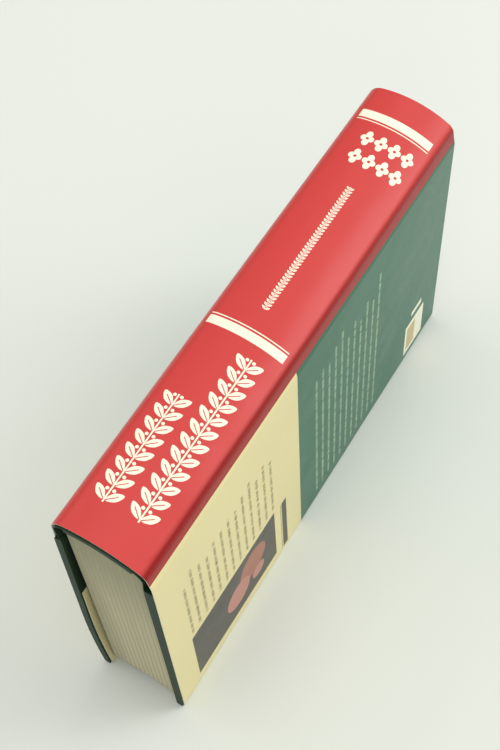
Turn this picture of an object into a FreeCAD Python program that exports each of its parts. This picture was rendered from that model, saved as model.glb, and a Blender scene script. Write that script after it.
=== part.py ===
import FreeCAD, Part
import math
import os
from collections import namedtuple

# Sizes in millimetres. The book stands on the fore-edges of its two covers, spine up.
# X runs from the front cover to the back cover, Y from head to tail, Z up from the floor.

# The closed book: the lowest page corner stands page_foot above the floor, and each joint lies
# joint_drop below the end of the jacket's shoulder, further on the front, which the lean lifts
cover_height = 207.0
jacket_short = 0.7
head_square = 2.2
page_width = 117.0
page_foot = 1.4
joint_drop_front = 3.9
joint_drop_back = 1.8

# The text block and the rounded back
block_thickness = 28.5
section_count = 14
section_groove = 0.35
spine_radius = 41.7
spine_lean = 7.5

# Sheets and boards
jacket_paper = 0.25
covering = 0.35
board_thickness = 2.5
endpaper = 0.2
super_cloth = 0.15
lining_paper = 0.3
spine_card = 1.5
hollow_gap = 0.9

# The covers
cover_clearance = 0.3
board_corner = 0.9
joint_width = 1.8
joint_corner = 0.6
turn_in = 15.0
flap_width = 70.0
pastedown_square = 4.6
super_wing = 25.0
hinge_gap = 0.2
fold_length = 3.0
front_lean = 1.6
front_bend_length = 42.0
front_bend_radius = 335.0

# Shoulders of the jacket and of the case under it, which turns shoulder_lead before the jacket
jacket_shoulder_front = 6.8
jacket_shoulder_back = 9.0
case_shoulder_front = 5.0
case_shoulder_back = 5.4
shoulder_lead = 0.1

# Small pieces on the back of the block
super_short = 14.0
lining_short = 3.0
band_strip = 0.25
band_length = 8.0
band_bead = 0.5

# Depths inside the outer face of a cover, from the jacket to the flap
covering_depth = jacket_paper
board_depth = covering_depth + covering
board_back = board_depth + board_thickness
flap_depth = board_back + endpaper
cover_depth = flap_depth + jacket_paper
turn_depth = board_back - covering
super_depth = board_back - super_cloth
groove_depth = super_depth - covering

# Where the outer face of a straight cover stands, from the middle of the block
block_side = block_thickness / 2
hinge_out = block_side + endpaper + cover_clearance + cover_depth
block_height = cover_height - 2 * head_square
jacket_height = cover_height - 2 * jacket_short
fold_corner = board_corner + covering + jacket_paper

# Radii of the layers over the rounded back, all about one centre
case_radius = spine_radius - jacket_paper
card_radius = case_radius - covering
turn_radius = card_radius - spine_card
hollow_radius = turn_radius - covering
lining_radius = hollow_radius - hollow_gap
super_radius = lining_radius - lining_paper
block_radius = super_radius - super_cloth
centre_x = -spine_radius * math.sin(math.radians(spine_lean))
centre_z = page_foot + page_width - math.sqrt(block_radius ** 2 - (block_side - centre_x) ** 2)

Cover = namedtuple("Cover", "side hinge lean bend_start bend_end bend_radius length")


def shoulder(radius, side, side_x, corner):
    """Centre of the corner between the rounded back and an upright at side_x, and its angle."""
    x = side * (side_x - corner)
    z = centre_z + math.sqrt((radius - corner) ** 2 - (x - centre_x) ** 2)
    return (x, z), math.atan2(x - centre_x, z - centre_z)


def jacket_shoulder(side):
    """Corner radius of the jacket on this side, the corner's centre, and the angle at which it starts."""
    radius = jacket_shoulder_front if side < 0 else jacket_shoulder_back
    centre, angle = shoulder(spine_radius, side, hinge_out, radius)
    return radius, centre, angle


def plan_cover(side, joint_drop, lean, bend_length, bend_radius):
    """A cover whose fore-edge stands on the floor, straight first and then bent inwards."""
    hinge = jacket_shoulder(side)[1][1] - joint_drop
    last = lean - bend_length / bend_radius
    reach = bend_radius * (math.sin(lean) - math.sin(last))
    reach += fold_length * math.cos(last) + fold_corner * math.sin(last)
    bend_start = (hinge - fold_corner - reach) / math.cos(lean)
    bend_end = bend_start + bend_length
    length = bend_end + fold_length + fold_corner
    return Cover(side, hinge, lean, bend_start, bend_end, bend_radius, length)


front = plan_cover(-1, joint_drop_front, math.radians(front_lean), front_bend_length, front_bend_radius)
back = plan_cover(1, joint_drop_back, 0.0, 0.0, front_bend_radius)

# The front cover bulges past its hinge, so the block stands off the middle by half of that
bulge = front.bend_start * math.sin(front.lean) + front.bend_radius * (1 - math.cos(front.lean))
block_x = bulge / 2


def at(point, y=0.0):
    """A profile point (x from the middle of the block, z) as a vector of the book's frame."""
    return FreeCAD.Vector(point[0] + block_x, y, point[1])


def line(start, end):
    return Part.LineSegment(at(start), at(end)).toShape()


def arc(start, middle, end):
    return Part.Arc(at(start), at(middle), at(end)).toShape()


def polygon(points):
    return [line(p, q) for p, q in zip(points, points[1:] + points[:1])]


def prism(edges, length, middle=0.0):
    """The closed profile run along the height of the book."""
    face = Part.Face(Part.Wire(Part.sortEdges(edges)[0]))
    face.translate(FreeCAD.Vector(0, middle - length / 2, 0))
    return face.extrude(FreeCAD.Vector(0, length, 0))


def polar(radius, angle):
    """A point over the rounded back, the angle taken from straight up."""
    return (centre_x + radius * math.sin(angle), centre_z + radius * math.cos(angle))


def back_height(radius, x):
    """Height of the rounded back of this radius over x."""
    return centre_z + math.sqrt(radius ** 2 - (x - centre_x) ** 2)


def back_angle(radius, x):
    return math.asin((x - centre_x) / radius)


def sector(outer, inner, start, end):
    """Edges of a curved plate over the rounded back, between two radii and two angles."""
    middle = (start + end) / 2
    return [
        arc(polar(outer, start), polar(outer, middle), polar(outer, end)),
        line(polar(outer, end), polar(inner, end)),
        arc(polar(inner, end), polar(inner, middle), polar(inner, start)),
        line(polar(inner, start), polar(outer, start)),
    ]


def around(centre, radius, start, end):
    """An arc about a centre, the short way from one angle to the other."""
    points = [
        (centre[0] + radius * math.sin(a), centre[1] + radius * math.cos(a))
        for a in (start, (start + end) / 2, end)
    ]
    return arc(*points)


def spot(cover, s, depth):
    """The point s below the hinge along the cover's outer face, and depth inside it."""
    bent = min(max(s - cover.bend_start, 0.0), cover.bend_end - cover.bend_start)
    heading = cover.lean - bent / cover.bend_radius
    first = min(s, cover.bend_start)
    last = max(s - cover.bend_end, 0.0)
    out = first * math.sin(cover.lean) + last * math.sin(heading) - depth * math.cos(heading)
    out += cover.bend_radius * (math.cos(heading) - math.cos(cover.lean))
    down = first * math.cos(cover.lean) + last * math.cos(heading) + depth * math.sin(heading)
    down += cover.bend_radius * (math.sin(cover.lean) - math.sin(heading))
    return (cover.side * (hinge_out + out), cover.hinge - down)


def run(cover, start, end, depth):
    """Edges that follow the cover at one depth, straight and bent by turns."""
    low, high = sorted((start, end))
    marks = [s for s in (cover.bend_start, cover.bend_end) if low < s < high]
    if cover.bend_start == cover.bend_end:
        marks = []
    stops = sorted([low, high] + marks, reverse=start > end)
    edges = []
    for a, b in zip(stops, stops[1:]):
        middle = (a + b) / 2
        p, q = spot(cover, a, depth), spot(cover, b, depth)
        if cover.bend_start < middle < cover.bend_end:
            edges.append(arc(p, spot(cover, middle, depth), q))
        else:
            edges.append(line(p, q))
    return edges


def corner(cover, s, depth, radius, quarter):
    """A quarter arc about a point of the cover, quarter 0 facing the hinge outwards and so on."""
    points = []
    for step in (quarter, quarter + 0.5, quarter + 1):
        angle = math.radians(90 * step)
        points.append(spot(cover, s - radius * math.cos(angle), depth - radius * math.sin(angle)))
    return arc(*points)


def layer(cover, start, end, outer, inner):
    """Edges of a sheet of the cover between two depths."""
    return (
        run(cover, start, end, outer)
        + [line(spot(cover, end, outer), spot(cover, end, inner))]
        + run(cover, end, start, inner)
        + [line(spot(cover, start, inner), spot(cover, start, outer))]
    )


def fore_edge(cover, s, outer, inner, radius):
    """Edges round the end of a cover or of a layer, from its outer to its inner face."""
    edges = [corner(cover, s - radius, outer + radius, radius, 1)]
    if inner - outer > 2 * radius:
        edges.append(line(spot(cover, s, outer + radius), spot(cover, s, inner - radius)))
    edges.append(corner(cover, s - radius, inner - radius, radius, 2))
    return edges


def board_end(cover):
    return cover.length - jacket_paper - covering


def board_plate(cover):
    """The board under its covering and turn-ins, with rounded edges at spine and fore-edge."""
    end = board_end(cover)
    edges = run(cover, joint_width + board_corner, end - board_corner, board_depth)
    edges += fore_edge(cover, end, board_depth, turn_depth, board_corner)
    edges += run(cover, end - board_corner, joint_width, turn_depth)
    edge_top = spot(cover, joint_width, board_depth + board_corner)
    edges.append(line(spot(cover, joint_width, turn_depth), edge_top))
    edges.append(corner(cover, joint_width + board_corner, board_depth + board_corner, board_corner, 0))
    return prism(edges, cover_height - 2 * covering)


def board_window(cover):
    """The middle of the board's inner face, between the turn-ins."""
    edges = layer(cover, joint_width, cover.length - turn_in, turn_depth, board_back)
    return prism(edges, cover_height - 2 * turn_in)


def make_super_wing(cover):
    edges = layer(cover, hinge_gap, joint_width + super_wing, super_depth, board_back)
    return prism(edges, block_height - 2 * super_short)


def make_board(cover):
    """The board, with the turn-ins and the super pressed flush into its inner face."""
    return board_plate(cover).fuse(board_window(cover)).cut(make_super_wing(cover)).removeSplitter()


def make_covering(cover):
    """The case's covering on one board: joint groove, panel and turn-ins on three sides."""
    end = cover.length - jacket_paper
    outer_corner = board_corner + covering
    wall = joint_width - covering
    edges = [line(spot(cover, hinge_gap, groove_depth), spot(cover, wall - joint_corner, groove_depth))]
    edges.append(corner(cover, wall - joint_corner, groove_depth - joint_corner, joint_corner, 2))
    wall_foot = spot(cover, wall, groove_depth - joint_corner)
    edges.append(line(wall_foot, spot(cover, wall, covering_depth + outer_corner)))
    edges.append(corner(cover, wall + outer_corner, covering_depth + outer_corner, outer_corner, 0))
    edges += run(cover, wall + outer_corner, end - outer_corner, covering_depth)
    edges += fore_edge(cover, end, covering_depth, board_back, outer_corner)
    edges += run(cover, end - outer_corner, joint_width, board_back)
    edges.append(line(spot(cover, joint_width, board_back), spot(cover, joint_width, super_depth)))
    edges.append(line(spot(cover, joint_width, super_depth), spot(cover, hinge_gap, super_depth)))
    edges.append(line(spot(cover, hinge_gap, super_depth), spot(cover, hinge_gap, groove_depth)))
    envelope = prism(edges, cover_height)
    return envelope.cut(board_plate(cover)).cut(board_window(cover))


def make_pastedown(cover):
    edges = layer(cover, hinge_gap, cover.length - pastedown_square, board_back, flap_depth)
    return prism(edges, block_height)


def make_jacket_side(cover):
    """One side of the dust jacket: panel, fold round the fore-edge, and flap."""
    inner_end = cover.length - jacket_paper
    inner_corner = fold_corner - jacket_paper
    flap_end = cover.length - flap_width
    edges = run(cover, hinge_gap, cover.length - fold_corner, 0.0)
    edges += fore_edge(cover, cover.length, 0.0, cover_depth, fold_corner)
    edges += run(cover, cover.length - fold_corner, flap_end, cover_depth)
    edges.append(line(spot(cover, flap_end, cover_depth), spot(cover, flap_end, flap_depth)))
    edges += run(cover, flap_end, inner_end - inner_corner, flap_depth)
    edges += fore_edge(cover, inner_end, jacket_paper, flap_depth, inner_corner)
    edges += run(cover, inner_end - inner_corner, hinge_gap, jacket_paper)
    edges.append(line(spot(cover, hinge_gap, jacket_paper), spot(cover, hinge_gap, 0.0)))
    return prism(edges, jacket_height)


def make_text_block():
    """Sewn sections with rounded folds at the back and an even page width to the fore-edge."""
    step = block_thickness / section_count
    valley = block_radius - section_groove
    angles = [back_angle(valley, -block_side + number * step) for number in range(section_count + 1)]
    edges = []
    for start, end in zip(angles, angles[1:]):
        crest = polar(block_radius, (start + end) / 2)
        edges.append(arc(polar(valley, start), crest, polar(valley, end)))
    low = {}
    for x in (-block_side, 0.0, block_side):
        low[x] = (x, back_height(block_radius, x) - page_width)
    for x in (-block_side, block_side):
        edges.append(line((x, back_height(valley, x)), low[x]))
    edges.append(arc(low[-block_side], low[0.0], low[block_side]))
    return prism(edges, block_height)


def make_flyleaf(side):
    inner, outer = side * block_side, side * (block_side + endpaper)
    low = back_height(block_radius, inner) - page_width
    top = min(back_height(block_radius, inner), back_height(block_radius, outer))
    return prism(polygon([(inner, low), (outer, low), (outer, top), (inner, top)]), block_height)


def back_outline(radius, side_x, below):
    """The rounded back closed by two uprights, which reach that far below the tops of the covers."""
    left, right = (-side_x, back_height(radius, -side_x)), (side_x, back_height(radius, side_x))
    front_foot = front.hinge + hinge_gap - below
    back_foot = back.hinge + hinge_gap - below
    return [
        arc(left, (0.0, back_height(radius, 0.0)), right),
        line(right, (side_x, back_foot)),
        line((side_x, back_foot), (0.0, back_foot)),
        line((0.0, back_foot), (0.0, front_foot)),
        line((0.0, front_foot), (-side_x, front_foot)),
        line((-side_x, front_foot), left),
    ]


def make_spine_super():
    """The open cloth glued over the back of the block and down both sides to the joints."""
    side_x = block_side + endpaper
    length = block_height - 2 * super_short
    wrap = prism(back_outline(super_radius, side_x + super_cloth, 0.0), length)
    core = prism(back_outline(block_radius, side_x, super_cloth), length + super_cloth)
    return wrap.cut(core)


def make_spine_lining():
    start = back_angle(lining_radius, -block_side)
    end = back_angle(lining_radius, block_side)
    return prism(sector(lining_radius, super_radius, start, end), block_height - 2 * lining_short)


def make_end_band(end):
    """A strip glued over the lining with a rolled bead at the end of the block, end -1 or 1."""
    start = back_angle(lining_radius, -block_side)
    stop = back_angle(lining_radius, block_side)
    reach = block_height / 2 + band_bead
    strip_length = band_length + band_bead
    strip = prism(sector(lining_radius + band_strip, lining_radius, start, stop), strip_length,
                  end * (reach - strip_length / 2))
    x, z = polar(lining_radius, start)
    centre = at((x, z), end * reach)
    tangent = FreeCAD.Vector(math.cos(start), 0, -math.sin(start))
    ring = Part.Face(Part.Wire(Part.makeCircle(band_bead, centre, tangent)))
    bead = ring.revolve(at((centre_x, centre_z)), FreeCAD.Vector(0, 1, 0), math.degrees(stop - start))
    return strip.fuse(bead).removeSplitter()


def case_shoulder(side):
    """The case's own corner under the jacket's, a little nearer the middle of the back."""
    radius = case_shoulder_front if side < 0 else case_shoulder_back
    angle = jacket_shoulder(side)[2] - side * shoulder_lead / case_radius
    return radius, polar(case_radius - radius, angle), angle


def make_spine_card():
    start = case_shoulder(-1)[2]
    end = case_shoulder(1)[2]
    return prism(sector(card_radius, turn_radius, start, end), cover_height - 2 * covering)


def joint_line(cover):
    """From the case's shoulder down into the joint: corner radius, centre, end angles and foot."""
    radius, centre, start = case_shoulder(cover.side)
    foot = (cover.side * (hinge_out - groove_depth), cover.hinge + hinge_gap)
    dx, dz = foot[0] - centre[0], foot[1] - centre[1]
    turn = math.acos(radius / math.hypot(dx, dz))
    end = math.atan2(dx, dz) - cover.side * turn
    return radius, centre, start, end, foot


def make_spine_covering():
    """The case's covering over the spine card, turned in at head and tail, and into both joints."""
    start, end = case_shoulder(-1)[2], case_shoulder(1)[2]
    middle = (start + end) / 2
    edges = [
        arc(polar(case_radius, start), polar(case_radius, middle), polar(case_radius, end)),
        arc(polar(card_radius, start), polar(card_radius, middle), polar(card_radius, end)),
    ]
    for cover in (front, back):
        radius, centre, first, last, foot = joint_line(cover)
        normal = (math.sin(last), math.cos(last))
        inner_foot = (foot[0] - covering * normal[0], foot[1] - covering * normal[1])
        outer_end = (centre[0] + radius * normal[0], centre[1] + radius * normal[1])
        inner_end = (outer_end[0] - covering * normal[0], outer_end[1] - covering * normal[1])
        edges.append(around(centre, radius, first, last))
        edges.append(line(outer_end, foot))
        edges.append(line(foot, inner_foot))
        edges.append(line(inner_foot, inner_end))
        edges.append(around(centre, radius - covering, last, first))
    sheet = prism(edges, cover_height)
    for end_side in (-1, 1):
        place = end_side * (cover_height - turn_in) / 2
        turn = prism(sector(card_radius, hollow_radius, start, end), turn_in, place)
        room = prism(sector(card_radius, turn_radius, start, end), turn_in, place - end_side * covering)
        sheet = sheet.fuse(turn.cut(room))
    return sheet.removeSplitter()


def jacket_back_edges(inset):
    """The jacket over the spine at one depth, from joint to joint, as an open row of edges."""
    radius, side_x = spine_radius - inset, hinge_out - inset
    edges, ends = [], {}
    for side, cover in ((-1, front), (1, back)):
        corner_radius, centre, angle = jacket_shoulder(side)
        edges.append(line((side * side_x, cover.hinge + hinge_gap), (side * side_x, centre[1])))
        edges.append(around(centre, corner_radius - inset, side * math.pi / 2, angle))
        ends[side] = angle
    middle = (ends[-1] + ends[1]) / 2
    edges.append(arc(polar(radius, ends[-1]), polar(radius, middle), polar(radius, ends[1])))
    return edges


def make_jacket_spine():
    edges = jacket_back_edges(0.0) + jacket_back_edges(jacket_paper)
    for side, cover in ((-1, front), (1, back)):
        foot = cover.hinge + hinge_gap
        edges.append(line((side * hinge_out, foot), (side * (hinge_out - jacket_paper), foot)))
    return prism(edges, jacket_height)


def main():
    nodes = {
        "text_block": make_text_block(),
        "front_flyleaf": make_flyleaf(-1),
        "back_flyleaf": make_flyleaf(1),
        "spine_super": make_spine_super(),
        "spine_lining": make_spine_lining(),
        "head_band": make_end_band(-1),
        "tail_band": make_end_band(1),
        "spine_card": make_spine_card(),
        "spine_covering": make_spine_covering(),
        "jacket_spine": make_jacket_spine(),
    }
    for name, cover in (("front", front), ("back", back)):
        nodes[name + "_board"] = make_board(cover)
        nodes[name + "_covering"] = make_covering(cover)
        nodes[name + "_super"] = make_super_wing(cover)
        nodes[name + "_pastedown"] = make_pastedown(cover)
        nodes["jacket_" + name] = make_jacket_side(cover)
    os.makedirs("parts", exist_ok=True)
    for name, shape in nodes.items():
        box = shape.BoundBox
        print(name, shape.isValid(), len(shape.Solids), round(shape.Volume, 2),
              [round(v, 2) for v in (box.XMin, box.XMax, box.YMin, box.YMax, box.ZMin, box.ZMax)])
        shape.exportStep("parts/" + name + ".step")


main()
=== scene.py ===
import math
import bpy
from mathutils import Matrix, Vector


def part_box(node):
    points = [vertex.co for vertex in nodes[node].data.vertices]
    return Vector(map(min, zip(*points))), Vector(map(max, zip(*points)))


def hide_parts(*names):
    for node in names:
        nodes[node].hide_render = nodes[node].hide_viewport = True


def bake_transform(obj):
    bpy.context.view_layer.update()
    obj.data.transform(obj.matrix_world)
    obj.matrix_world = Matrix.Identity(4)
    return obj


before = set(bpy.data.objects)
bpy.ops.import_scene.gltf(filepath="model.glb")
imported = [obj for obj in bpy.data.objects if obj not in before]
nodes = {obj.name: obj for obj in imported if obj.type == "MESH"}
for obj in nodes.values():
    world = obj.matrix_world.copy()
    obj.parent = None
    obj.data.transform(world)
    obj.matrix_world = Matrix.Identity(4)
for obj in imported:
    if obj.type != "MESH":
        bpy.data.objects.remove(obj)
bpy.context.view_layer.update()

MM = 0.001

# Sizes in millimetres, as the construction has them
cover_height = 207.0
jacket_short = 0.7
page_width = 117.0
page_foot = 1.4
joint_drop = {-1: 3.9, 1: 1.8}
block_thickness = 28.5
spine_radius = 41.7
spine_lean = math.radians(7.5)
jacket_paper = 0.25
covering = 0.35
board_thickness = 2.5
endpaper = 0.2
super_cloth = 0.15
lining_paper = 0.3
spine_card = 1.5
hollow_gap = 0.9
cover_clearance = 0.3
board_corner = 0.9
flap_width = 70.0
fold_length = 3.0
front_lean = math.radians(1.6)
front_bend_length = 42.0
front_bend_radius = 335.0
shoulder_corner = {-1: 6.8, 1: 9.0}

# The paper drapes over the back shoulder more tightly than the solid, then slants out to the cover,
# and it sinks a little between the shoulder and the board
drape_corner = {-1: 6.8, 1: 5.0}
drape_end = {-1: math.radians(90), 1: math.radians(80)}
drape_dip = {-1: 0.1, 1: 0.05}
dip_lead = 1.6

# The sheet of the jacket passes its CAD edge at the tail, where it hides the case
tail_over = 0.8

# Steps along each stretch of the jacket's line. The closest are those just under the joint, where
# joint_stretch is their length together.
crest_steps = 24
shoulder_steps = 14
slope_steps = 20
joint_steps = 10
panel_steps = 40
fold_steps = 8
flap_steps = 30
joint_stretch = 2.4

# The angle from which the jacket's edges are sharp
sheet_sharp = math.radians(40)

# The coverings' edges are softened by this much, where they turn by more than this angle
covering_round = 0.35
covering_sharp = math.radians(35)

board_back = jacket_paper + covering + board_thickness
cover_depth = board_back + endpaper + jacket_paper
hinge_out = block_thickness / 2 + endpaper + cover_clearance + cover_depth
fold_corner = board_corner + covering + jacket_paper
layers_over_block = jacket_paper + 2 * covering + spine_card + hollow_gap + lining_paper + super_cloth
block_radius = spine_radius - layers_over_block
centre_x = -spine_radius * math.sin(spine_lean)
centre_z = page_foot + page_width - math.sqrt(block_radius ** 2 - (block_thickness / 2 - centre_x) ** 2)


def shoulder_height(side):
    """The height of the middle of the corner that the jacket's outer face has on this side."""
    corner = shoulder_corner[side]
    x = side * (hinge_out - corner)
    return centre_z + math.sqrt((spine_radius - corner) ** 2 - (x - centre_x) ** 2)


class Cover:
    """One cover's outer line from the hinge to the fore-edge, s along it and depth inwards."""

    def __init__(self, side, lean, bend_length):
        self.hinge = shoulder_height(side) - joint_drop[side]
        last = lean - bend_length / front_bend_radius
        reach = front_bend_radius * (math.sin(lean) - math.sin(last))
        reach += fold_length * math.cos(last) + fold_corner * math.sin(last)
        self.side = side
        self.lean = lean
        self.bend_start = (self.hinge - fold_corner - reach) / math.cos(lean)
        self.bend_end = self.bend_start + bend_length
        self.length = self.bend_end + fold_length + fold_corner

    def spot(self, s, depth):
        """The x and z of a point at that length and depth."""
        bent = min(max(s - self.bend_start, 0.0), self.bend_end - self.bend_start)
        heading = self.lean - bent / front_bend_radius
        first = min(s, self.bend_start)
        last = max(s - self.bend_end, 0.0)
        out = first * math.sin(self.lean) + last * math.sin(heading) - depth * math.cos(heading)
        out += front_bend_radius * (math.cos(heading) - math.cos(self.lean))
        down = first * math.cos(self.lean) + last * math.cos(heading) + depth * math.sin(heading)
        down += front_bend_radius * (math.sin(self.lean) - math.sin(heading))
        return self.side * (hinge_out + out), self.hinge - down


front = Cover(-1, front_lean, front_bend_length)
back = Cover(1, 0.0, 0.0)
block_x = (front.bend_start * math.sin(front_lean) + front_bend_radius * (1 - math.cos(front_lean))) / 2


def jacket_line(side):
    """The jacket's outer face from the spine's middle to the flap's end: x, z, outward x, outward z, u."""
    cover = front if side < 0 else back
    corner = drape_corner[side]
    last = drape_end[side]
    reach = math.sin(last) * (hinge_out - side * centre_x) - corner
    reach += math.cos(last) * (cover.hinge - centre_z)
    angle = last - math.acos(reach / (spine_radius - corner))
    path = []

    # Over the spine, round the shoulder and down the slope to the hinge
    crest = spine_radius * (angle - side * spine_lean)
    for i in range(crest_steps + 1):
        t = i / crest_steps
        a = spine_lean + (side * angle - spine_lean) * t
        x = centre_x + spine_radius * math.sin(a)
        z = centre_z + spine_radius * math.cos(a)
        path.append((x, z, crest * t))
    u = crest
    x = centre_x + (spine_radius - corner) * math.sin(side * angle)
    z = centre_z + (spine_radius - corner) * math.cos(angle)
    turn = corner * (last - angle)
    for i in range(1, shoulder_steps + 1):
        t = i / shoulder_steps
        a = angle + (last - angle) * t
        path.append((x + side * corner * math.sin(a), z + corner * math.cos(a), u + turn * t))
    u += turn
    x, z = path[-1][:2]
    slope = math.hypot(side * hinge_out - x, z - cover.hinge)
    for i in range(1, slope_steps + 1):
        t = i / slope_steps
        path.append((x + (side * hinge_out - x) * t, z + (cover.hinge - z) * t, u + slope * t))

    # The paper sinks a little from just above the end of the turn down to the hinge
    start = u - dip_lead
    end = u + slope
    for i, (px, pz, pu) in enumerate(path):
        if start < pu < end:
            dip = drape_dip[side] * math.sin(math.pi * (pu - start) / (end - start)) ** 2
            path[i] = (px - side * dip * math.sin(last), pz - dip * math.cos(last), pu)

    # The panel, the fold round the fore-edge and the flap
    u = end
    panel = cover.length - fold_corner
    stops = [joint_stretch * i / joint_steps for i in range(1, joint_steps + 1)]
    stops += [joint_stretch + (panel - joint_stretch) * i / panel_steps for i in range(1, panel_steps + 1)]
    for s in stops:
        px, pz = cover.spot(s, 0.0)
        path.append((px, pz, u + s))
    u += panel
    quarter = fold_corner * math.pi / 2
    flat = cover_depth - 2 * fold_corner
    for i in range(1, fold_steps + 1):
        t = i / fold_steps
        a = math.pi / 2 * t
        px, pz = cover.spot(panel + fold_corner * math.sin(a), fold_corner * (1 - math.cos(a)))
        path.append((px, pz, u + quarter * t))
    u += quarter + flat
    for i in range(fold_steps + 1):
        t = i / fold_steps
        a = math.pi / 2 * t
        depth = cover_depth - fold_corner * (1 - math.sin(a))
        px, pz = cover.spot(panel + fold_corner * math.cos(a), depth)
        path.append((px, pz, u + quarter * t))
    u += quarter
    flap = flap_width - fold_corner
    for i in range(1, flap_steps + 1):
        px, pz = cover.spot(panel - flap * i / flap_steps, cover_depth)
        path.append((px, pz, u + flap * i / flap_steps))

    # The outward direction at each point comes from its two neighbours
    points = []
    for (ax, az, _), (x, z, u), (bx, bz, _) in zip(path[:1] + path, path, path[1:] + path[-1:]):
        run = math.hypot(bx - ax, bz - az)
        points.append((x + block_x, z, side * (az - bz) / run, side * (bx - ax) / run, side * u))
    return points


def strip(name, line, thickness, half, materials):
    """A sheet of that thickness inside an outer line, from -half to past half along Y.

    Its UV map holds u and y in metres.
    """
    outer_face, inner_face, cut_edge = range(3)
    rings = []
    verts = []
    uvs = []

    # Each ring is outer head, outer tail, inner head, inner tail
    for x, z, nx, nz, u in line:
        ring = []
        for inset in (0.0, thickness):
            for y in (-half, half + tail_over):
                ring.append(len(verts))
                verts.append(((x - nx * inset) * MM, y * MM, (z - nz * inset) * MM))
                uvs.append((u * MM, y * MM))
        rings.append(ring)
    faces = []
    kinds = []
    flip = line[-1][4] < line[0][4]
    for (a, b, c, d), (e, f, g, h) in zip(rings, rings[1:]):
        for quad, kind in (((a, b, f, e), outer_face), ((c, g, h, d), inner_face),
                           ((a, e, g, c), cut_edge), ((b, d, h, f), cut_edge)):
            faces.append(quad[::-1] if flip else quad)
            kinds.append(kind)
    a, b, c, d = rings[-1]
    faces.append((a, b, d, c)[::-1] if flip else (a, b, d, c))
    kinds.append(cut_edge)
    mesh = bpy.data.meshes.new(name)
    mesh.from_pydata(verts, [], faces)
    mesh.update()
    for m in materials:
        mesh.materials.append(m)
    layer = mesh.uv_layers.new(name="UVMap")
    for p, kind in zip(mesh.polygons, kinds):
        p.material_index = kind
        p.use_smooth = True
        for i in p.loop_indices:
            layer.data[i].uv = uvs[mesh.loops[i].vertex_index]
    mesh.set_sharp_from_angle(angle=sheet_sharp)
    obj = bpy.data.objects.new(name, mesh)
    bpy.context.scene.collection.objects.link(obj)
    return obj


class Graph:
    """A small helper to write shader maths in one line each."""

    def __init__(self, name):
        self.material = bpy.data.materials.new(name)
        self.material.use_nodes = True
        self.tree = self.material.node_tree
        self.shader = next(n for n in self.tree.nodes if n.type == "BSDF_PRINCIPLED")

    def node(self, kind, **settings):
        n = self.tree.nodes.new(kind)
        for key, value in settings.items():
            setattr(n, key, value)
        return n

    def put(self, socket, value):
        if isinstance(value, bpy.types.NodeSocket):
            self.tree.links.new(value, socket)
        else:
            socket.default_value = value

    def math(self, operation, *values, clamp=False):
        n = self.node("ShaderNodeMath", operation=operation, use_clamp=clamp)
        for socket, value in zip(n.inputs, values):
            self.put(socket, value)
        return n.outputs[0]

    def mix(self, factor, a, b):
        n = self.node("ShaderNodeMix", data_type="RGBA")
        self.put(n.inputs[0], factor)
        self.put(n.inputs[6], a)
        self.put(n.inputs[7], b)
        return n.outputs[2]

    def near(self, value, middle, reach):
        return self.math("COMPARE", value, middle, reach)

    def both(self, *masks):
        result = masks[0]
        for m in masks[1:]:
            result = self.math("MULTIPLY", result, m)
        return result

    def either(self, *masks):
        result = masks[0]
        for m in masks[1:]:
            result = self.math("MAXIMUM", result, m)
        return result

    def ease(self, value, start, end):
        """0 before start, 1 past end, and smooth between."""
        n = self.node("ShaderNodeMapRange", interpolation_type="SMOOTHSTEP")
        self.put(n.inputs[0], value)
        n.inputs[1].default_value = start
        n.inputs[2].default_value = end
        return n.outputs[0]

    def minus(self, mask, hole):
        return self.math("SUBTRACT", mask, hole, clamp=True)

    def noise(self, vector=None, w=None, scale=1.0, detail=2.0, rough=0.5):
        n = self.node("ShaderNodeTexNoise")
        if w is not None:
            n.noise_dimensions = "1D"
            self.put(n.inputs["W"], w)
        if vector is not None:
            self.put(n.inputs["Vector"], vector)
        n.inputs["Scale"].default_value = scale
        n.inputs["Detail"].default_value = detail
        n.inputs["Roughness"].default_value = rough
        return n.outputs[0]

    def bump(self, height, strength, distance):
        n = self.node("ShaderNodeBump")
        n.inputs["Strength"].default_value = strength
        n.inputs["Distance"].default_value = distance
        self.put(n.inputs["Height"], height)
        self.put(self.shader.inputs["Normal"], n.outputs[0])

    def set(self, **values):
        for key, value in values.items():
            self.put(self.shader.inputs[key.replace("_", " ")], value)


def colour(r, g, b):
    """An sRGB colour as a linear one."""
    def linear(c):
        c = c / 255
        return c / 12.92 if c <= 0.04045 else ((c + 0.055) / 1.055) ** 2.4
    return (linear(r), linear(g), linear(b), 1.0)


RED = colour(210, 64, 60)
# Painted shade: the red of the crease at the back joint
CREASE_SHADE_RED = colour(150, 16, 14)
CREAM = colour(252, 249, 222)
SAND = colour(239, 227, 167)
GREEN = colour(24, 102, 76)
OLIVE = colour(142, 134, 74)
PALE = colour(158, 190, 150)
CHARCOAL = colour(54, 53, 48)
TAN = colour(206, 186, 130)
ROSE = colour(196, 128, 116)
CLAY = colour(170, 104, 82)
PAPER = colour(240, 238, 230)
SHADE = colour(120, 60, 55)
CLOTH_GREEN = colour(20, 48, 26)

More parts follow.
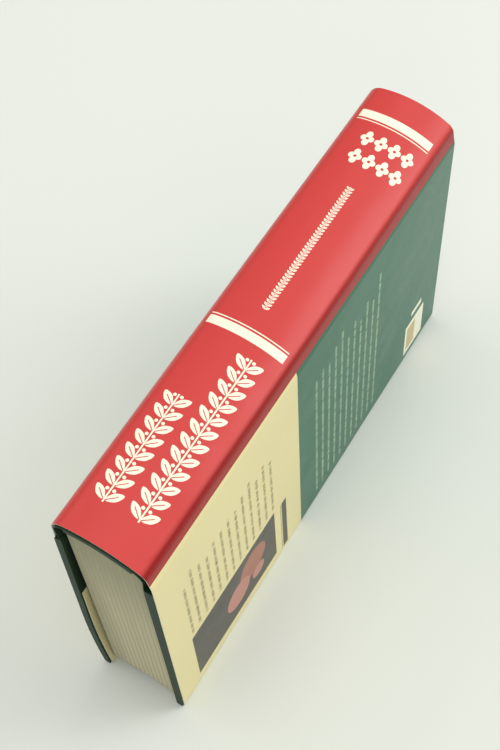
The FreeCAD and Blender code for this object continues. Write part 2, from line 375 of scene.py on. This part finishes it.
# Places of the print in millimetres: u round the jacket from the spine's middle, positive towards the
# back cover, and v along the spine from head to tail. A field is u from, u to, v from, v to.
field_split = -14.2
red_start = -21.6
red_end = 23.7
red_slant = -0.0075
# Painted shade in the crease at the back joint: it grows over crease_start and eases back by crease_fade_by
# over crease_fade
crease_start = (16.0, 18.7)
crease_fade = (19.4, 23.5)
crease_fade_by = -0.28
spine_rules = (
    (-15.3, 15.4, -17.3, -13.8),
    (-15.4, 15.4, -13.05, -12.6),
    (-14.6, 15.5, 87.8, 91.6),
    (-14.6, 15.6, 86.5, 86.95),
)
dark_field = (95.6, 132.0, -90.8, -33.6)
discs = (
    (109.0, -50.0, 9.0, CLAY),
    (117.0, -61.0, 8.0, ROSE),
    (121.0, -47.0, 4.2, ROSE),
)
dark_bar = (97.6, 136.0, -28.3, -25.0)
thin_line = (97.6, 136.0, -29.3, -28.9)
light_field = (113.6, 135.0, 75.0, 91.5)
tan_field = (116.5, 132.5, 76.8, 84.0)
light_tag = (107.0, 110.0, 79.5, 88.5)

# One repeat of the laurel at size 1: a runs along the stem, b away from it
leaf_middle = (0.2, 2.75)
leaf_way = (0.64, 0.77)
leaf_length = 3.2
leaf_width = 1.5
leaf_taper = 0.1
vein_width = 0.16
vein_end = 1.2
berry_middle = (2.0, 1.3)
berry_radius = 0.62
stem_width = 0.3
laurel_reach = 5.4

# One flower: how far out its petals are, their half lengths across and along the spine, and its eye
petal_out_u = 1.35
petal_out_v = 1.95
petal_side = (1.25, 1.3)
petal_end = (1.25, 1.6)
flower_eye = 0.6
flower_reach = 3.6

# The broken strokes: a run's length and the share of it left free, then the height and the breaks of
# a stroke. Each shift moves a line's pattern away from the next one's, and a grain is per millimetre.
run_length = 7.5
run_gap = 0.07
run_shift = 31.7
stroke_low = 0.12
stroke_vary = 1.1
height_grain = 1.15
height_shift = 17.3
stroke_break = 0.42
break_grain = 2.6
break_shift = 9.1

# The paper's surface: its roughness and what the fine grain adds, and the height of its slow waves
print_rough = 0.26
print_rough_gain = 0.10
shade_share = 0.08
grain_height = 0.02
wave_strength = 0.25
wave_height = 0.004


def jacket_print():
    """The jacket's printed face: fields of colour, rules, ornament and lines of broken strokes."""
    g = Graph("jacket_print")
    uv = g.node("ShaderNodeUVMap", uv_map="UVMap")
    parts = g.node("ShaderNodeSeparateXYZ")
    g.put(parts.inputs[0], uv.outputs[0])
    u = g.math("MULTIPLY", parts.outputs[0], 1000.0)
    v = g.math("MULTIPLY", parts.outputs[1], 1000.0)

    def box(u0, u1, v0, v1):
        """1 inside the field and 0 outside."""
        return g.both(g.near(u, (u0 + u1) / 2, (u1 - u0) / 2), g.near(v, (v0 + v1) / 2, (v1 - v0) / 2))

    def cell(value, start, pitch):
        """Distance from the middle of the repeat that the point is in."""
        t = g.math("DIVIDE", g.math("SUBTRACT", value, start), pitch)
        t = g.math("SUBTRACT", g.math("FRACT", t), 0.5)
        return g.math("MULTIPLY", t, pitch)

    def oval(a, b, ra, rb):
        """1 inside the oval about a = b = 0 and 0 outside."""
        pa = g.math("POWER", g.math("DIVIDE", a, ra), 2.0)
        pb = g.math("POWER", g.math("DIVIDE", b, rb), 2.0)
        return g.math("LESS_THAN", g.math("ADD", pa, pb), 1.0)

    def offset(value, by):
        return g.math("SUBTRACT", value, by)

    def laurel(u_mid, v0, count, pitch, size):
        """A stem along the spine with a pair of leaves and of berries in each repeat."""
        a = g.math("DIVIDE", cell(v, v0, pitch), size)
        b = g.math("DIVIDE", g.math("ABSOLUTE", offset(u, u_mid)), size)
        leaf_a = offset(a, leaf_middle[0])
        leaf_b = offset(b, leaf_middle[1])
        along = g.math("ADD", g.math("MULTIPLY", leaf_a, leaf_way[0]),
                       g.math("MULTIPLY", leaf_b, leaf_way[1]))
        across = g.math("SUBTRACT", g.math("MULTIPLY", leaf_a, leaf_way[1]),
                        g.math("MULTIPLY", leaf_b, leaf_way[0]))
        taper = g.math("MULTIPLY", g.math("ABSOLUTE", along), leaf_taper)
        leaf = oval(along, g.math("ADD", g.math("ABSOLUTE", across), taper), leaf_length, leaf_width)
        vein = g.both(g.near(across, 0.0, vein_width), g.math("LESS_THAN", along, vein_end))
        berry = oval(offset(a, berry_middle[0]), offset(b, berry_middle[1]), berry_radius, berry_radius)
        stem = g.math("LESS_THAN", b, stem_width)
        drawn = g.either(g.minus(leaf, vein), berry, stem)
        reach = laurel_reach * size
        return g.both(drawn, box(u_mid - reach, u_mid + reach, v0, v0 + count * pitch))

    def flower_row(v_mid, u0, count, pitch):
        """A row of four-petalled flowers across the spine."""
        a = cell(u, u0, pitch)
        b = offset(v, v_mid)
        sides = [oval(offset(a, way * petal_out_u), b, *petal_side) for way in (1, -1)]
        ends = [oval(a, offset(b, way * petal_out_v), *petal_end) for way in (1, -1)]
        flower = g.minus(g.either(*sides, *ends), oval(a, b, flower_eye, flower_eye))
        return g.both(flower, box(u0, u0 + count * pitch, v_mid - flower_reach, v_mid + flower_reach))

    def stroke_lines(v0, pitch, count, u_ragged, u_spread, u_end, seed):
        """Lines of broken strokes with ragged starts."""
        t = g.math("DIVIDE", g.math("SUBTRACT", v, v0), pitch)
        index = g.math("ROUND", t)
        across = g.math("MULTIPLY", g.math("SUBTRACT", t, index), pitch)
        white = g.node("ShaderNodeTexWhiteNoise", noise_dimensions="1D")
        g.put(white.inputs["W"], g.math("ADD", index, seed))
        start = g.math("MULTIPLY_ADD", white.outputs[0], u_spread, u_ragged)
        inside = g.both(g.math("GREATER_THAN", u, start), g.math("LESS_THAN", u, u_end))
        inside = g.both(inside, g.near(index, (count - 1) / 2, count / 2))
        runs = g.node("ShaderNodeTexVoronoi", voronoi_dimensions="1D", feature="DISTANCE_TO_EDGE")
        runs.inputs["Scale"].default_value = 1.0
        g.put(runs.inputs["W"], g.math("MULTIPLY_ADD", index, run_shift, g.math("DIVIDE", u, run_length)))
        gaps = g.math("GREATER_THAN", runs.outputs[0], run_gap)
        heights_at = g.math("MULTIPLY_ADD", index, height_shift, g.math("MULTIPLY", u, height_grain))
        heights = g.noise(w=heights_at, detail=1.0)
        tall = g.math("MULTIPLY_ADD", heights, stroke_vary, stroke_low)
        breaks_at = g.math("MULTIPLY_ADD", index, break_shift, g.math("MULTIPLY", u, break_grain))
        solid = g.math("GREATER_THAN", g.noise(w=breaks_at, detail=0.0), stroke_break)
        bar = g.math("LESS_THAN", g.math("ABSOLUTE", across), tall)
        return g.both(inside, gaps, bar, solid)

    base = g.mix(g.math("GREATER_THAN", v, field_split), SAND, GREEN)
    near_head = stroke_lines(-89.3, pitch=4.6, count=13, u_ragged=45.5, u_spread=9.0, u_end=92.0, seed=3.0)
    base = g.mix(near_head, base, OLIVE)
    near_tail = stroke_lines(-1.2, pitch=4.75, count=11, u_ragged=39.0, u_spread=13.0, u_end=132.0, seed=8.0)
    base = g.mix(near_tail, base, PALE)

    # A dark field with three overlapping discs, a bar with a thin line, and a light field with a tag
    art = CHARCOAL
    for disc_u, disc_v, radius, tint in discs:
        art = g.mix(oval(offset(u, disc_u), offset(v, disc_v), radius, radius), art, tint)
    base = g.mix(box(*dark_field), base, art)
    base = g.mix(box(*dark_bar), base, CHARCOAL)
    base = g.mix(box(*thin_line), base, OLIVE)
    base = g.mix(box(*light_field), base, CREAM)
    base = g.mix(box(*tan_field), base, TAN)
    base = g.mix(box(*light_tag), base, CREAM)

    # The spine's field of red, with painted shade darkening it in the crease at the back joint, and with
    # rules and ornament
    slant = g.math("MULTIPLY_ADD", v, red_slant, u)
    red = g.both(g.math("GREATER_THAN", u, red_start), g.math("LESS_THAN", slant, red_end))
    fading = g.math("MULTIPLY_ADD", g.ease(slant, *crease_fade), crease_fade_by, 1.0)
    painted_crease_shade = g.math("MULTIPLY", g.ease(slant, *crease_start), fading)
    base = g.mix(red, base, g.mix(painted_crease_shade, RED, CREASE_SHADE_RED))
    rules = [box(*rule) for rule in spine_rules]
    short_sprig = laurel(-6.7, -90.0, count=8, pitch=5.5, size=1.0)
    long_sprig = laurel(6.4, -89.8, count=12, pitch=5.6, size=1.0)
    braid = laurel(0.0, -4.2, count=40, pitch=1.5, size=0.28)
    flowers = [flower_row(v_mid, -8.6, count=4, pitch=5.6) for v_mid in (69.2, 78.6)]
    base = g.mix(g.either(*rules, short_sprig, long_sprig, braid, *flowers), base, CREAM)

    coords = g.node("ShaderNodeCombineXYZ")
    g.put(coords.inputs[0], u)
    g.put(coords.inputs[1], v)
    coords = coords.outputs[0]
    tone = g.noise(coords, scale=0.03, detail=3.0)
    base = g.mix(g.math("MULTIPLY", tone, shade_share), base, SHADE)
    fine = g.noise(coords, scale=0.35, detail=4.0)
    rough = g.math("MULTIPLY_ADD", fine, print_rough_gain, print_rough)
    g.set(Base_Color=base, Roughness=rough, Specular_IOR_Level=0.3)
    wave = g.noise(coords, scale=0.022, detail=2.0)
    height = g.math("ADD", wave, g.math("MULTIPLY", fine, grain_height))
    g.bump(height, wave_strength, wave_height)
    return g.material


def plain(name, tint, rough, grain=0.0, scale=900.0, shade=0.12, **values):
    """A matt or satin material with a fine grain in its colour and height."""
    g = Graph(name)
    coords = g.node("ShaderNodeTexCoord").outputs["Object"]
    n = g.noise(coords, scale=scale, detail=4.0)
    dark = tuple(c * 0.55 for c in tint[:3]) + (1.0,)
    g.set(Base_Color=g.mix(g.math("MULTIPLY", n, shade * 2), tint, dark), Roughness=rough, **values)
    if grain:
        g.bump(n, grain, 0.0004)
    return g.material


PAGES = colour(206, 200, 168)
PAGES_DULL = colour(196, 191, 160)
# Painted light: the lighter foot of the pages
PAGES_LIT_FOOT = colour(216, 208, 176)
PAGES_LINE = colour(116, 110, 84)
# Painted shade: the dimmer head and front side of the pages
PAGES_SHADED = colour(128, 128, 100)
SECTIONS = 14.0

# How strongly the pages show the folds' lines and the leaves, the painted light that makes the foot lighter,
# and the painted shade that dims the head and side
fold_sharpness = 5.0
fold_strength = 0.55
fold_fade = 0.75
leaf_count = 260.0
leaf_strength = 0.30
foot_light_strength = 0.35
painted_shade_strength = 0.5
shade_towards_top = (0.45, 1.0)
shade_towards_front = (0.4, -0.1)


def pages_look():
    """Cut paper with the dark line of each section's fold, fine leaves, painted light towards the foot, and
    painted shade near the spine and the front side.
    """
    g = Graph("pages")
    geometry = g.node("ShaderNodeTexCoord")
    parts = g.node("ShaderNodeSeparateXYZ")
    g.put(parts.inputs[0], geometry.outputs["Object"])
    x, _, z = parts.outputs
    low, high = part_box("text_block")[:2]
    across = g.math("DIVIDE", g.math("SUBTRACT", x, low.x), high.x - low.x)
    soft = g.noise(geometry.outputs["Object"], scale=14.0, detail=2.0)
    bent = g.math("MULTIPLY_ADD", g.math("SUBTRACT", soft, 0.5), 0.03, across)
    fold = g.math("FRACT", g.math("MULTIPLY", bent, SECTIONS))
    from_middle = g.math("MULTIPLY", g.math("ABSOLUTE", g.math("SUBTRACT", fold, 0.5)), 2.0)
    line = g.math("POWER", from_middle, fold_sharpness)
    leaves = g.noise(w=g.math("MULTIPLY", across, leaf_count), detail=3.0, rough=0.7)
    section = g.math("FLOOR", g.math("MULTIPLY", bent, SECTIONS))
    per_section = g.noise(w=g.math("MULTIPLY", section, 3.7), detail=0.0)
    height = g.math("DIVIDE", g.math("SUBTRACT", z, low.z), high.z - low.z)
    fade = g.math("SUBTRACT", 1.0, g.math("MULTIPLY", height, fold_fade), clamp=True)
    streaks = g.math("MULTIPLY", leaves, leaf_strength)
    dark = g.math("MULTIPLY_ADD", g.math("MULTIPLY", line, fade), fold_strength, streaks)
    tint = g.mix(per_section, PAGES, PAGES_DULL)
    # Painted light: the pages grow lighter towards the foot
    low_down = g.math("SUBTRACT", 1.0, height, clamp=True)
    tint = g.mix(g.math("MULTIPLY", low_down, foot_light_strength), tint, PAGES_LIT_FOOT)
    tint = g.mix(dark, tint, PAGES_LINE)
    # Painted shade: the pages grow dimmer towards the top and the front side
    painted_shade = g.either(g.ease(height, *shade_towards_top), g.ease(across, *shade_towards_front))
    tint = g.mix(g.math("MULTIPLY", painted_shade, painted_shade_strength), tint, PAGES_SHADED)
    g.set(Base_Color=tint, Roughness=0.85, Specular_IOR_Level=0.2)
    g.bump(g.math("ADD", leaves, g.math("MULTIPLY", line, -1.2)), 0.5, 0.0002)
    return g.material


print_look = jacket_print()
paper_back = plain("jacket_inside", PAPER, rough=0.6, grain=0.05)
paper_edge = plain("jacket_edge", PAPER, rough=0.6)
green_cloth = plain("covering", CLOTH_GREEN, rough=0.45, grain=0.25, scale=1400.0, shade=0.2,
                    Specular_IOR_Level=0.12)
green_paper = plain("endpaper", colour(18, 30, 24), rough=0.8, grain=0.1, Specular_IOR_Level=0.2)
open_cloth = plain("open_cloth", colour(226, 222, 206), rough=0.9, grain=0.6, scale=2500.0)
lining = plain("lining", colour(190, 160, 116), rough=0.85, grain=0.1)
board = plain("board", colour(150, 142, 126), rough=0.9, grain=0.4, scale=1500.0, shade=0.2)
band = plain("band", colour(46, 92, 70), rough=0.7, grain=0.4, scale=2500.0, shade=0.3)
pages = pages_look()

looks = {
    "text_block": pages,
    "front_flyleaf": green_paper,
    "back_flyleaf": green_paper,
    "spine_super": open_cloth,
    "spine_lining": lining,
    "head_band": band,
    "tail_band": band,
    "spine_card": board,
    "spine_covering": green_cloth,
    "jacket_spine": print_look,
}
for cover in ("front", "back"):
    looks[cover + "_board"] = board
    looks[cover + "_covering"] = green_cloth
    looks[cover + "_super"] = open_cloth
    looks[cover + "_pastedown"] = green_paper
    looks["jacket_" + cover] = print_look
for name, look in looks.items():
    nodes[name].data.materials.clear()
    nodes[name].data.materials.append(look)

# The coverings' edges are softened, because paper over board has no sharp edge
for name in ("spine_covering", "front_covering", "back_covering"):
    soft = nodes[name].modifiers.new("rounded", "BEVEL")
    soft.width = covering_round * MM
    soft.segments = 3
    soft.limit_method = "ANGLE"
    soft.angle_limit = covering_sharp
    soft.harden_normals = True


def jacket_sheet(side, name):
    """Half of the jacket as one sheet."""
    sheet = strip(name, jacket_line(side), jacket_paper, cover_height / 2 - jacket_short,
                  (print_look, paper_back, paper_edge))
    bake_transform(sheet)
    return sheet


front_sheet = jacket_sheet(-1, "jacket_sheet_front")
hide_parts("jacket_front")
back_sheet = jacket_sheet(1, "jacket_sheet_back")
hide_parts("jacket_back")
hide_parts("jacket_spine")

# The floor, in metres
floor_reach = 4.0


def pale_floor():
    """A plain level floor under the book."""
    corners = [(x * floor_reach, y * floor_reach, 0) for x, y in ((-1, -1), (1, -1), (1, 1), (-1, 1))]
    mesh = bpy.data.meshes.new("floor")
    mesh.from_pydata(corners, [], [(0, 1, 2, 3)])
    look = Graph("floor")
    look.set(Base_Color=colour(226, 230, 221), Roughness=0.6, Specular_IOR_Level=0.3)
    mesh.materials.append(look.material)
    obj = bpy.data.objects.new("floor", mesh)
    bpy.context.scene.collection.objects.link(obj)
    return obj


floor = pale_floor()

# The sky's strength at the horizon, and what it gains up to the zenith
sky_low = 0.20
sky_gain = 0.60

# What the lamps face, in metres
lamp_target = Vector((0, 0, 0.06))


def studio_sky():
    """A white sky that grows brighter towards the top."""
    world = bpy.data.worlds.new("studio")
    world.use_nodes = True
    tree = world.node_tree
    background = next(n for n in tree.nodes if n.type == "BACKGROUND")
    background.inputs["Color"].default_value = (1.0, 1.0, 1.0, 1.0)
    ways = tree.nodes.new("ShaderNodeTexCoord")
    parts = tree.nodes.new("ShaderNodeSeparateXYZ")
    strength = tree.nodes.new("ShaderNodeMath")
    strength.operation = "MULTIPLY_ADD"
    strength.inputs[1].default_value = sky_gain
    strength.inputs[2].default_value = sky_low
    tree.links.new(ways.outputs["Generated"], parts.inputs[0])
    tree.links.new(parts.outputs["Z"], strength.inputs[0])
    tree.links.new(strength.outputs[0], background.inputs["Strength"])
    bpy.context.scene.world = world


def lamp(name, spot, size, power):
    """A square soft light that faces the book."""
    data = bpy.data.lights.new(name, "AREA")
    data.shape = "SQUARE"
    data.size = size
    data.energy = power
    obj = bpy.data.objects.new(name, data)
    obj.location = spot
    obj.rotation_mode = "QUATERNION"
    obj.rotation_quaternion = (lamp_target - Vector(spot)).to_track_quat("-Z", "Y")
    bpy.context.scene.collection.objects.link(obj)


studio_sky()
bpy.context.scene.view_settings.view_transform = "Standard"
lamp("overhead", (0, 0, 2.0), size=1.6, power=7.0)
lamp("left", (-1.414, 0, 1.414), size=1.0, power=4.0)
lamp("beyond", (0, 1.414, 1.414), size=1.0, power=3.0)
lamp("high_window", (1.0, 1.04, 1.38), size=0.8, power=9.0)
lamp("window", (1.512, 0.944, 0.906), size=0.9, power=6.0)
lamp("low", (0.545, -1.817, 0.636), size=1.0, power=5.0)

# The camera's place in metres, its direction in degrees round the book and up, its roll and its lens
camera_spot = (0.13655, -0.20693, 0.47956)
camera_turn = math.radians(35.31)
camera_climb = math.radians(58.17)
camera_roll = math.radians(4.94)
focal_length = 61.59
sensor_width = 36.0


def photo_camera():
    """The camera at the photograph's viewing angle."""
    level = math.cos(camera_climb)
    behind = Vector((math.sin(camera_turn) * level, -math.cos(camera_turn) * level, math.sin(camera_climb)))
    right = (-behind).cross(Vector((0, 0, 1))).normalized()
    down = (-behind).cross(right)
    across = right * math.cos(camera_roll) + down * math.sin(camera_roll)
    below = down * math.cos(camera_roll) - right * math.sin(camera_roll)
    data = bpy.data.cameras.new("camera")
    data.sensor_width = sensor_width
    data.lens = focal_length
    obj = bpy.data.objects.new("camera", data)
    bpy.context.scene.collection.objects.link(obj)
    facing = Matrix((across, -below, behind)).transposed()
    obj.matrix_world = Matrix.Translation(camera_spot) @ facing.to_4x4()
    bpy.context.scene.camera = obj


photo_camera()
